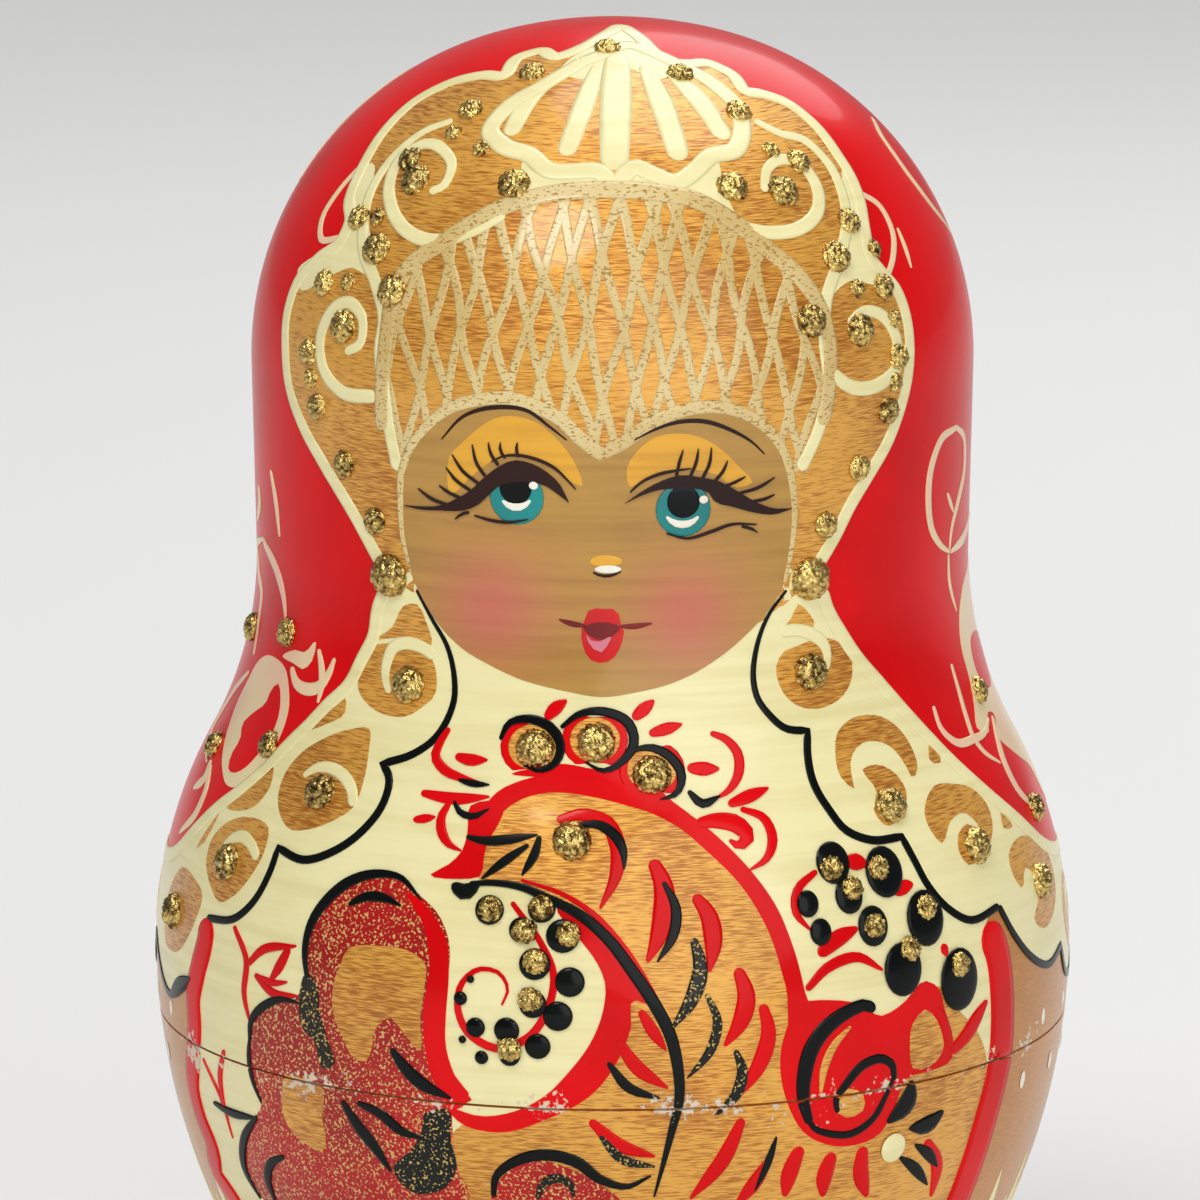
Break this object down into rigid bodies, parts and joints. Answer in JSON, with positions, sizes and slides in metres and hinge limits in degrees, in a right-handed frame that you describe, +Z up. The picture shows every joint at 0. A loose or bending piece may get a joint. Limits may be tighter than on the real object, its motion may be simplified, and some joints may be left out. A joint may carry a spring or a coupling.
{
  "type": "matryoshka nesting doll",
  "caption": "Round-shouldered turned wooden doll in a painted headdress and scarf, parting at a spigot seam around a nest of smaller dolls.",
  "frame": {"origin": "centre of the largest doll's flat underside, on the surface it stands on", "axes": "+Z up along the turning axis; the painted face looks towards -Y, so +X is the viewer's right"},
  "size_m": [0.092, 0.0923, 0.15],
  "materials": {
    "painted_top": "scarlet paint under clear gloss lacquer on turned limewood",
    "painted_base": "ochre gold paint under clear gloss lacquer on turned limewood",
    "gilt_relief": "crinkled gold leaf on raised paste drops"
  },
  "bodies": {
    "first_doll_base": {"first_doll_base": "painted_base"},
    "second_doll_base": {"second_doll_base": "painted_base"},
    "third_doll_base": {"third_doll_base": "painted_base"},
    "fourth_doll_base": {"fourth_doll_base": "painted_base"},
    "fifth_doll_base": {"fifth_doll_base": "painted_base"},
    "sixth_doll_base": {"sixth_doll_base": "painted_base"},
    "seventh_doll": {"seventh_doll": "painted_top"},
    "sixth_doll_top": {"sixth_doll_top": "painted_top"},
    "fifth_doll_top": {"fifth_doll_top": "painted_top"},
    "fourth_doll_top": {"fourth_doll_top": "painted_top"},
    "third_doll_top": {"third_doll_top": "painted_top"},
    "second_doll_top": {"second_doll_top": "painted_top"},
    "first_doll_top": {"first_doll_top": "painted_top", "headdress_border_beads": "gilt_relief", "headdress_scroll_beads": "gilt_relief", "headdress_seed_beads": "gilt_relief", "earring_beads": "gilt_relief", "collar_beads": "gilt_relief", "scarf_beads": "gilt_relief", "bird_crest_beads": "gilt_relief", "berry_beads": "gilt_relief"}
  },
  "joints": [
    {"name": "second_doll_lift", "type": "slide", "parent": "first_doll_base", "child": "second_doll_base", "axis": [0, 0, 1], "range_m": [0, 0.07]},
    {"name": "third_doll_lift", "type": "slide", "parent": "second_doll_base", "child": "third_doll_base", "axis": [0, 0, 1], "range_m": [0, 0.056]},
    {"name": "fourth_doll_lift", "type": "slide", "parent": "third_doll_base", "child": "fourth_doll_base", "axis": [0, 0, 1], "range_m": [0, 0.0448]},
    {"name": "fifth_doll_lift", "type": "slide", "parent": "fourth_doll_base", "child": "fifth_doll_base", "axis": [0, 0, 1], "range_m": [0, 0.0358]},
    {"name": "sixth_doll_lift", "type": "slide", "parent": "fifth_doll_base", "child": "sixth_doll_base", "axis": [0, 0, 1], "range_m": [0, 0.0287]},
    {"name": "tops_turn", "type": "hinge", "parent": "sixth_doll_base", "child": "seventh_doll", "pos_m": [0, 0, 0.02398], "axis": [0, 0, 1], "continuous": true},
    {"name": "sixth_top_lift", "type": "slide", "parent": "seventh_doll", "child": "sixth_doll_top", "axis": [0, 0, 1], "range_m": [0, 0.0295]},
    {"name": "fifth_top_lift", "type": "slide", "parent": "sixth_doll_top", "child": "fifth_doll_top", "axis": [0, 0, 1], "range_m": [0, 0.0369]},
    {"name": "fourth_top_lift", "type": "slide", "parent": "fifth_doll_top", "child": "fourth_doll_top", "axis": [0, 0, 1], "range_m": [0, 0.0461]},
    {"name": "third_top_lift", "type": "slide", "parent": "fourth_doll_top", "child": "third_doll_top", "axis": [0, 0, 1], "range_m": [0, 0.0576]},
    {"name": "second_top_lift", "type": "slide", "parent": "third_doll_top", "child": "second_doll_top", "axis": [0, 0, 1], "range_m": [0, 0.072]},
    {"name": "first_top_lift", "type": "slide", "parent": "second_doll_top", "child": "first_doll_top", "axis": [0, 0, 1], "range_m": [0, 0.09]}
  ]
}
